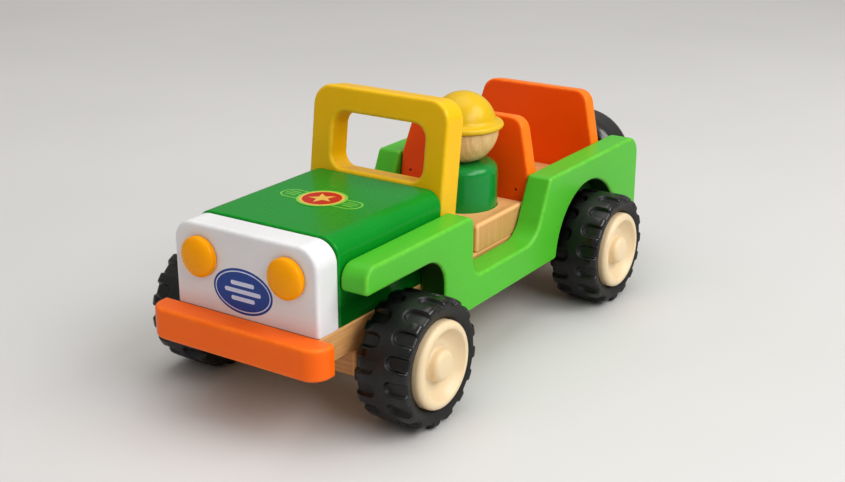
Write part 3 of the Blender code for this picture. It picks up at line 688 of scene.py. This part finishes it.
def make_headlights(looks):
    """Low domes on a short round wall."""
    radius, depth, rim, steps = 0.0079, 0.0042, 0.0016, 16
    points = [(radius * sin(pi / 2 * i / steps),
               rim + (depth - rim) * cos(pi / 2 * i / steps),
               0.3 * sin(pi * i / steps) ** 2) for i in range(steps + 1)]
    points += [(radius, 0, 0), (0, 0, 0)]
    for name in ("headlight_left", "headlight_right"):
        middle = middle_of(name)
        spot = Matrix.Translation((middle.x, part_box(name)[1].y, middle.z))
        turned(f"{name}_lens", points, spot @ Matrix.Rotation(pi / 2, 4, "X"), looks["amber"],
               "car_body", (name,))


def make_hood(looks):
    low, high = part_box("hood_block")
    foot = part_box("windshield_frame")[0].y
    half = [(high.x, low.z, 0.0), (high.x, high.z, 0.0075)]

    def slanted(point):
        if point.y < (low.y + foot) / 2:
            return point
        return Vector((point.x, point.y + leaning(0, point.z), point.z))

    slab("hood", [rounded(mirrored(half), 16)], -(foot - GAP), -low.y, ALONG_Y, looks["hood_green"],
         ("hood_block",), 0.0008, slanted, (0, 1))


def panel_outline():
    """Side view of a side panel: fender, wheel arch, rear quarter and door opening."""
    low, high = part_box("side_panel_left")
    fender_low, fender_top, sill_top, rear_top = 0.0564, 0.0668, 0.0408, 0.0660
    tip = asin((low.z - AXLE_Z) / ARCH_RADIUS)
    bow = arch((REAR_Y, AXLE_Z), ARCH_RADIUS, pi - tip, tip, 40)
    fender_end, door_start = FRONT_Y + 0.0278, FRONT_Y + 0.0487
    door_end, rise_end = FRONT_Y + 0.1002, FRONT_Y + 0.1123
    corners = [(low.y, fender_low, 0.0020), (fender_end, fender_low, 0.0120),
               (fender_end, low.z, 0.0030)]
    corners += [(*point, 0.0020 if point in (bow[0], bow[-1]) else 0.0) for point in bow]
    corners += [(high.y, low.z, 0.0030), (high.y, rear_top, 0.0090), (rise_end, rear_top, 0.0022),
                (door_end, sill_top, 0.0120), (door_start, sill_top, 0.0070),
                (door_start, fender_top, 0.0035), (low.y, fender_top, 0.0060)]
    return rounded(corners, 10)


def make_side_panels(looks):
    outline = panel_outline()
    greens = [looks["side_green"], looks["arch_green"]]
    flat = asin((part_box("side_panel_left")[0].z + GAP - AXLE_Z) / (ARCH_RADIUS - GAP))
    segment = arch((REAR_Y, AXLE_Z), ARCH_RADIUS - GAP, flat, pi - flat, 36)
    for side in ("left", "right"):
        low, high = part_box(f"side_panel_{side}")
        panel = slab(f"side_panel_{side}_board", [outline], low.x, high.x, ALONG_X, greens,
                     (f"side_panel_{side}",), 0.0013)
        for wall in panel.data.polygons:  # the walls of both wheel openings get a darker green: painted shade
            y, z = wall.center.y, wall.center.z
            rear = hypot(y - REAR_Y, z - AXLE_Z) < ARCH_RADIUS + 0.0004 and z > low.z + 0.001
            front = y < FRONT_Y + 0.0282 and z < 0.0568
            wall.material_index = 1 if abs(wall.normal.x) < 0.3 and (rear or front) else 0
        # a dark green sheet inside the rear arch, where there is only shade: painted shade
        start = low.x if side == "left" else high.x - SHADE_SHEET_THICKNESS
        slab(f"arch_shade_sheet_{side}", [segment], start, start + SHADE_SHEET_THICKNESS, ALONG_X, looks["arch_green"],
             (), 0.0003)


def make_windshield(looks):
    half = [(0.0333, -FOOT_DEPTH, 0.0), (0.0333, 0.0695, 0.0088)]
    hole = [(0.0228, 0.0355, 0.0060), (0.0228, 0.0590, 0.0060)]
    leaning_board("windshield_frame", [rounded(mirrored(half), 12), rounded(mirrored(hole), 12)],
                  FRAME_THICKNESS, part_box("windshield_frame")[0].y, looks["yellow_frame"],
                  0.0014)


def make_front_seat(looks, foot):
    low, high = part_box("front_seat_base")
    base = CHASSIS_TOP + GAP
    corners = [(low.y, base, 0.0), (leaning(foot, base) - GAP, base, 0.0),
               (leaning(foot, high.z) - GAP, high.z, 0.0020), (low.y, high.z, 0.0022)]
    seat = slab("front_seat_base_wood", [rounded(corners, 8)], low.x, high.x, ALONG_X,
                looks["wood_seat"], ("front_seat_base",), 0.0013, flush=(0, 1))
    x, y = middle_of("driver_body").xy
    rounding = 0.0004
    carve(seat, [(RECESS_RADIUS, (x, y, high.z - RECESS_DEPTH), (x, y, high.z + 0.001))], rounding)
    edge = seat.data.attributes["edge"].data
    for vertex in seat.data.vertices:
        away = hypot(vertex.co.x - x, vertex.co.y - y)
        if abs(away - RECESS_RADIUS - rounding / 2) < rounding and vertex.co.z > high.z - 0.001:
            edge[vertex.index].value = 1.0


def make_seat_nails(looks, board):
    into = Vector((0, cos(LEAN), -sin(LEAN)))
    shank = profile([(0, NAIL_HALF, 0), (NAIL_RADIUS, NAIL_HALF, 0.0002),
                     (NAIL_RADIUS, -NAIL_HALF, 0), (0, -0.0030, 0)], 3)
    holes = []
    for name in ("seat_nail_left", "seat_nail_right"):
        middle = middle_of(name)
        holes.append((0.0006, middle - into * 0.005, middle + into * 0.0034))
        spot = Matrix.Translation(middle) @ Matrix.Rotation(pi / 2 - LEAN, 4, "X")
        turned(f"{name}_pin", shank, spot, looks["nail"], "car_body", (name,), 24)
    carve(board, holes)


def make_seats(looks):
    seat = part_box("front_seat_base")[1]
    foot = seat.y + GAP - (seat.z - CHASSIS_TOP) * tan(LEAN)
    rear_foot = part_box("rear_seat_back")[0].y - GAP * tan(LEAN)
    make_front_seat(looks, foot)

    back = [(0.0336, -FOOT_DEPTH, 0.0), (0.0336, 0.0240, 0.0022), (0.0272, 0.0482, 0.0070)]
    outline = rounded(mirrored(back), 10)
    boards = [leaning_board(name, [outline], BACK_THICKNESS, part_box(name)[0].y - GAP * tan(LEAN),
                            looks["orange_seat"], 0.0014)
              for name in ("front_seat_back", "rear_seat_back")]
    make_seat_nails(looks, boards[0])

    thick = BACK_THICKNESS / cos(LEAN)
    low = CHASSIS_TOP + GAP
    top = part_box("rear_seat_base")[1].z
    spans = {"rear_seat_base": (foot + thick + GAP, rear_foot - GAP, True),
             "tail_block": (rear_foot + thick + GAP, TAIL_Y, False)}
    for name, (start, end, slanted) in spans.items():
        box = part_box(name)
        rear = (leaning(end, low), leaning(end, top)) if slanted else (end, end)
        corners = [(leaning(start, low), low, 0.0), (rear[0], low, 0.0),
                   (rear[1], top, 0.0020), (leaning(start, top), top, 0.0020)]
        slab(name + "_wood", [rounded(corners, 6)], box[0].x, box[1].x, ALONG_X, looks["wood_cross"],
             (name,), 0.0012, flush=(0, 1))


# ---- driver ----
def make_driver(looks):
    """Body, ball head and helmet; a dowel joins the first two and the head's tenon the last two."""
    low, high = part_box("driver_body")
    spot = Matrix.Translation((*middle_of("driver_body").xy, 0))
    radius, top, neck = (high.x - low.x) / 2, high.z, 0.0033
    hole = top - 0.0060
    torso = profile([(neck, top - 0.0014, 0), (0.0058, top, 0.0006), (radius, top, 0.0042),
                     (radius, low.z, 0.0008), (0, low.z, 0)], 10)
    body = [(r, z, 0.35 * mask) for r, z, mask in torso] + [(0, hole, 0.0), (neck, hole, 0.0)]
    turned("driver_body_turned", body, spot, looks["body_green"], "driver", ("driver_body",),
           128)

    head_z, head_radius = 0.0882, 0.0154
    brim_low = head_z + 0.0001
    tenon, tenon_top = 0.0097, brim_low + 0.0058
    ball = [(0, tenon_top, 0.0), (tenon, tenon_top, 0.0), (tenon, brim_low, 0.0)]
    last = acos(neck / head_radius)
    ball += [(head_radius * cos(last * i / 30), head_z - head_radius * sin(last * i / 30), 0.0)
             for i in range(31)]
    hole = head_z - head_radius + 0.0075
    ball += [(neck, hole, 0.0), (0, hole, 0.0)]
    turned("driver_head_ball", ball, spot, looks["wood_head"], "driver", ("driver_head",), 128)

    rim = brim_low + GAP
    dome, dome_z = 0.0142, head_z + 0.0016
    edge, brim = 0.0013, 0.0174
    first = radians(14)
    cap = [(dome * cos(a), dome_z + dome * sin(a), 0.0)
           for a in [pi / 2 - (pi / 2 - first) * i / 26 for i in range(27)]]
    start = Vector(cap[-1][:2])
    crest = Vector((brim - edge, rim + 2 * edge))
    bend = Vector((dome * 1.006, crest.y + 0.0002))
    for i in range(1, 6):  # a curve from the dome out to the brim
        t = i / 6
        point = start * (1 - t) ** 2 + bend * 2 * t * (1 - t) + crest * t ** 2
        cap.append((point.x, point.y, 0.0))
    for i in range(13):
        a = pi / 2 - pi * i / 12
        cap.append((brim - edge + edge * cos(a), rim + edge + edge * sin(a),
                    0.6 * sin(pi * i / 12)))
    socket, socket_top = 0.0100, rim + 0.0062
    cap += [(socket, rim, 0.0), (socket, socket_top, 0.0), (0, socket_top, 0.0)]
    turned("driver_helmet_turned", cap, spot, looks["yellow_helmet"], "driver", ("driver_helmet",),
           128)


# ---- wheels ----
def stadium(across, inward):
    """Signed distance from a pocket's outline: across its middle line, inward from the shoulder."""
    past = max(0.0, inward - (POCKET_LENGTH - POCKET_HALF))
    return hypot(across, past) - POCKET_HALF


def pocket_columns(inward):
    """The mesh columns' distances from a pocket's middle line, up to half way to the next pocket."""
    distances = (-0.0019, -0.0012, -0.0009, -0.0007, -0.0005, -0.0003, -0.0001, 0.0001, 0.0003)
    half_pitch = TYRE_RADIUS * PITCH / 2
    past = max(0.0, inward - (POCKET_LENGTH - POCKET_HALF))
    found = [0.0]
    for step, distance in enumerate(distances, 1):
        width = (POCKET_HALF + distance) ** 2 - past ** 2
        found.append(max(sqrt(max(0.0, width)), step * 0.00012))
    last = found[-1]
    found += [last + (half_pitch - last) * i / 4 for i in range(1, 5)]
    even = [half_pitch * i / (len(found) - 1) for i in range(len(found))]
    blend = min(1.0, max(0.0, (inward - POCKET_LENGTH) / 0.0012))
    return [a * (1 - blend) + b * blend for a, b in zip(found, even)]


def tyre_rows(shoulder_radius, shoulder_width):
    """Rows (radius, distance from the middle plane, distance in from the shoulder, pocket share)."""
    middle = (TYRE_OUTER + TYRE_INNER) / 2
    bore, dip = HUB_RADIUS + GAP, TYRE_DIP - middle
    width = TYRE_OUTER - middle
    rows = [(bore, dip * 0.6, 0.0, 0.0), (bore, dip - 0.0003, 0.0, 0.0),
            (bore + 0.0004, dip, 0.0, 0.0)]
    steps = 9
    for i in range(1, steps):  # sidewall
        t = i / steps
        bulge = sin(t * pi / 2) ** 0.9
        rows.append((bore + (shoulder_radius - bore) * t, dip + (width - dip) * bulge, 0.0,
                     0.45 * max(0.0, (t - 0.55) / 0.45) ** 2))
    for i in range(steps):  # shoulder
        t = pi / 2 * i / (steps - 1)
        inset = shoulder_width * (1 - cos(t))
        radius = shoulder_radius + (TYRE_RADIUS - shoulder_radius) * sin(t)
        rows.append((radius, width - inset, inset, 0.45 + 0.55 * sin(t)))
    round_start = POCKET_LENGTH - POCKET_HALF
    tread = [v for v in (0.0041, 0.0049, 0.0056, round_start) if v > shoulder_width]
    tread += [round_start + POCKET_HALF * sin(radians(a)) for a in (12, 24, 35, 45)]
    tread += [POCKET_LENGTH + d for d in (-0.0007, -0.0005, -0.0003, -0.0001, 0.0001, 0.0003, 0.0007)]
    return rows + [(TYRE_RADIUS, width - v, v, 1.0) for v in tread]


def tyre(name, matrix, phase, look, body, pockets=1.0, shoulder_radius=SHOULDER_RADIUS,
         shoulder_width=SHOULDER_WIDTH):
    """A moulded tyre: pockets open to both shoulders, those of the inner side turned by STAGGER.

    pockets is their depth from 0, a smooth tyre, to 1."""
    middle = (TYRE_OUTER + TYRE_INNER) / 2
    outer = tyre_rows(shoulder_radius, shoulder_width)
    rows = [(r, u, v, share, phase) for r, u, v, share in outer]
    rows += [(r, -u, v, share, phase + STAGGER) for r, u, v, share in outer[::-1]]
    verts, lugs = [], []
    for radius, axial, inward, share, turn in rows:
        right = pocket_columns(inward)
        columns = [-a for a in right[:0:-1]] + right[:-1]
        top = min(1.0, max(0.0, (radius - shoulder_radius) / 0.0006))
        top *= min(1.0, max(0.15, (0.0062 - inward) / 0.0022))
        for pocket in range(POCKETS):
            for across in columns:
                drop = min(1.0, max(0.0, (POCKET_LIP - stadium(across, inward)) / POCKET_WALL))
                drop = drop * drop * (3 - 2 * drop) * pockets * share
                at = radius - POCKET_DEPTH * drop
                inset = 0.0006 * drop * max(0.0, 1 - inward / 0.002) * (1 if axial > 0 else -1)
                angle = turn + PITCH * pocket + across / TYRE_RADIUS
                verts.append(matrix @ Vector((at * cos(angle), at * sin(angle),
                                              middle + axial - inset)))
                lugs.append(top * (1 - 0.6 * drop) if pockets else 1.0)
    count = len(verts) // len(rows)
    faces = []
    for row in range(len(rows)):
        below = (row + 1) % len(rows)
        for i in range(count):
            j = (i + 1) % count
            faces.append((row * count + i, row * count + j, below * count + j, below * count + i))
    new_piece(f"{name}_tyre_moulded", verts, faces, {"lug": lugs}, look, body, (f"{name}_tyre",))


def hub(name, matrix, look, body):
    """A boss in a round dish with a rolled rim; the axle's bore is blind."""
    points = profile([(0, 0.0640, 0), (0.0060, 0.0637, 0.0024),
                      (0.0064, 0.0597, 0.0012), (0.0092, 0.0592, 0.0050), (0.0130, 0.0617, 0.0)], 8)
    roll = 0.0022
    points += [(HUB_RADIUS - roll + roll * cos(radians(a)),
                HUB_FACE - roll + roll * sin(radians(a)), 0.0) for a in range(120, -1, -12)]
    points += [(HUB_RADIUS, TYRE_DIP, 0.0), (HUB_RADIUS, HUB_BACK, 0.0), (BORE_RADIUS, HUB_BACK, 0.0),
               (BORE_RADIUS, BORE_END, 0.0), (0, BORE_END, 0.0)]
    turned(f"{name}_hub_moulded", [(r, x, 0.2 * mask) for r, x, mask in points], matrix, look, body,
           (f"{name}_hub",), 128)


def make_wheels(looks):
    phases = {"front_left": -86.7, "front_right": 4, "rear_left": -80, "rear_right": 9}
    for axle, y in (("front", FRONT_Y), ("rear", REAR_Y)):
        body = f"{axle}_wheels"
        middle = Matrix.Translation((0, y, AXLE_Z))
        for side, turn in (("left", pi / 2), ("right", -pi / 2)):
            name = f"{axle}_{side}"
            spot = middle @ Matrix.Rotation(turn, 4, "Y")
            tyre(name, spot, radians(phases[name]) % PITCH, looks["rubber"], body)
            hub(name, spot, looks["cream"], body)
        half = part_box(f"{axle}_axle")[1].x
        rod = profile([(0, half, 0), (AXLE_RADIUS, half, 0.0004), (AXLE_RADIUS, -half, 0.0004),
                       (0, -half, 0)], 4)
        turned(f"{axle}_axle_rod", rod, middle @ Matrix.Rotation(pi / 2, 4, "Y"), looks["steel"],
               body, (f"{axle}_axle",), 48)
    x, _, z = middle_of("spare_hub")
    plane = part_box("spare_hub")[1].y - 0.0641  # leaves the boss 0.1 mm short of the CAD hub's end
    spot = Matrix.Translation((x, plane, z)) @ Matrix.Rotation(-pi / 2, 4, "X")
    tyre("spare", spot, 0.1, looks["spare_rubber"], "spare_wheel", 0.0, 0.0200, 0.0072)
    hub("spare", spot, looks["cream"], "spare_wheel")


# ---- printed marks ----
def film(name, layers, matrix, looks):
    """Ink shapes stacked on a surface, as (outline, number of its look, level)."""
    verts, faces, numbers = [], [], []
    for points, number, level in layers:
        start, count = len(verts), len(points)
        base = level * INK_STEP if level else INK_SUNK
        for height in (base, base + INK):
            verts += [matrix @ Vector((a, b, height)) for a, b in points]
        faces.append(tuple(range(start, start + count))[::-1])
        faces.append(tuple(range(start + count, start + 2 * count)))
        for i in range(start, start + count):
            j = start + (i + 1 - start) % count
            faces.append((i, j, count + j, count + i))
        numbers += [number] * (count + 2)
    piece = new_piece(name, verts, faces, {}, looks, "car_body")
    piece.data.polygons.foreach_set("material_index", numbers)


def oval(x, y, half_x, half_y, steps=72):
    turns = [2 * pi * i / steps for i in range(steps)]
    return [(x + half_x * cos(turn), y + half_y * sin(turn)) for turn in turns]


def pill(x, y, half_x, half_y):
    return rectangle(x - half_x, y - half_y, x + half_x, y + half_y, half_y * 0.98, 6)


def make_badge(looks):
    """A blue oval with a white ring; three bars stand in for the lettering."""
    x, z = -0.0009, 0.0528
    layers = [(oval(x, z, 0.01405, 0.0089), 0, 0), (oval(x, z, 0.01315, 0.0080), 1, 1),
              (oval(x, z, 0.01265, 0.0075), 0, 2)]
    layers += [(pill(x, z + rise, half, 0.00085), 1, 3)
               for rise, half in ((0.0030, 0.0056), (0.0, 0.0086), (-0.0030, 0.0056))]
    spot = Matrix.Translation((0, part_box("grille_panel")[0].y, 0)) @ ALONG_Y
    film("grille_badge", layers, spot, [looks["badge_blue"], looks["badge_white"]])


def make_emblem(looks):
    """A five-pointed star on a disc, with three stripes on either side."""
    x, y = -0.0004, -0.0789
    wing_y = y - 0.0005
    layers = [(pill(x, wing_y, 0.0191, 0.0048), 0, 0), (pill(x, wing_y, 0.0183, 0.0040), 3, 1)]
    layers += [(pill(x + side * 0.0138, wing_y + shift, half, 0.00035), 0, 2) for side in (-1, 1)
               for shift, half in ((0.0018, 0.0026), (0.0, 0.0034), (-0.0018, 0.0026))]
    layers += [(oval(x, y, radius, radius, 96), number, level)
               for radius, number, level in ((0.0101, 0, 3), (0.0090, 1, 4), (0.0078, 2, 5))]
    star = []
    for i in range(10):
        radius = 0.0023 if i % 2 else 0.0057
        angle = radians(270 + 36 * i)
        star.append((x + radius * cos(angle), y + radius * sin(angle)))
    layers.append((star, 1, 6))
    film("hood_emblem", layers, Matrix.Translation((0, 0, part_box("hood_block")[1].z)),
         [looks["emblem_lime"], looks["emblem_gold"], looks["emblem_red"], looks["hood_green"]])


# ---- nodes that keep their CAD shape ----
def dress_cad_nodes(looks):
    chosen = {"axle_gear": "white_gear", "compound_gear": "blue_gear", "compound_shaft": "steel",
              "mainspring": "spring", "mainspring_arbor": "steel", "mainspring_drum": "grey",
              "mainspring_wheel": "white_gear", "motor_case_left": "grey", "motor_case_right": "grey",
              "motor_screw_front": "steel_upright", "motor_screw_rear": "steel_upright",
              "neck_dowel": "wood_head", "spare_pin": "steel"}
    for name, look in chosen.items():
        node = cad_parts[name]
        for slot in node.material_slots:
            slot.link = "OBJECT"
            slot.material = looks[look]


# ---- floor, light and camera ----
def make_stage():
    skin = Skin("floor_paper")
    cloud = skin.ramp(skin.noise(skin.place, 3.0, 3), 0.3, 0.7)
    skin.set(Base_Color=skin.mix(cloud, srgb(205, 204, 203), srgb(211, 210, 209)),
             Roughness=0.75)
    shape = bmesh.new()
    bmesh.ops.create_grid(shape, x_segments=1, y_segments=1, size=6.0)
    mesh = bpy.data.meshes.new("floor")
    shape.to_mesh(mesh)
    shape.free()
    mesh.materials.append(skin.made)
    floor = add_object("floor", mesh)


def area_light(name, spot, target, size, power, colour):
    lamp = bpy.data.lights.new(name, "AREA")
    lamp.shape = "DISK"
    lamp.size = size
    lamp.energy = power
    lamp.color = colour
    holder = add_object(name, lamp)
    holder.location = spot
    holder.rotation_euler = (Vector(target) - Vector(spot)).to_track_quat("-Z", "Y").to_euler()


def make_light():
    """A pale room, dim at the horizon and bright above, with a soft key from the car's left."""
    world = bpy.data.worlds.new("studio")
    world.use_nodes = True
    tree = world.node_tree
    direction = tree.nodes.new("ShaderNodeTexCoord").outputs["Generated"]
    parts = tree.nodes.new("ShaderNodeSeparateXYZ")
    tree.links.new(direction, parts.inputs["Vector"])
    rise = tree.nodes.new("ShaderNodeMapRange")
    tree.links.new(parts.outputs["Z"], rise.inputs["Value"])
    for socket, value in (("From Min", 0.05), ("From Max", 0.75), ("To Min", 0.27), ("To Max", 0.555)):
        rise.inputs[socket].default_value = value
    back = tree.nodes["Background"]
    back.inputs["Color"].default_value = (1.0, 0.97, 0.94, 1.0)
    tree.links.new(rise.outputs["Result"], back.inputs["Strength"])
    bpy.context.scene.world = world
    area_light("key", (0.95, 0.25, 0.95), (0, 0, 0.04), 0.9, 7.0, (1.0, 0.99, 0.97))
    area_light("window", (0.83, -0.36, 0.66), (0, 0, 0.04), 0.55, 2.9, (0.96, 0.98, 1.0))
    area_light("top", (-0.1, 0.1, 1.4), (0, 0, 0), 1.2, 4.5, (0.97, 0.99, 1.0))


def make_camera():
    lens = bpy.data.cameras.new("camera")
    lens.sensor_width = 36
    lens.lens = 55.75
    lens.shift_x = 0.0005
    lens.shift_y = 0.0005
    lens.clip_start = 0.01
    camera = add_object("camera", lens)
    camera.location = (0.298664, -0.460049, 0.230232)
    target = Vector((0.04877, -0.082964, 0.069303))
    camera.rotation_euler = (target - camera.location).to_track_quat("-Z", "Y").to_euler()
    bpy.context.scene.camera = camera


def main():
    make_camera()
    make_light()
    make_stage()
    looks = make_looks()
    for build in (make_chassis, make_axle_blocks, make_bumper, make_grille, make_headlights, make_hood,
                  make_side_panels, make_windshield, make_seats, make_driver, make_wheels, make_badge,
                  make_emblem, dress_cad_nodes):
        build(looks)
    bpy.context.scene.view_settings.view_transform = "Standard"
    bpy.context.scene.view_settings.look = "Medium High Contrast"


main()
bpy.context.view_layer.update()
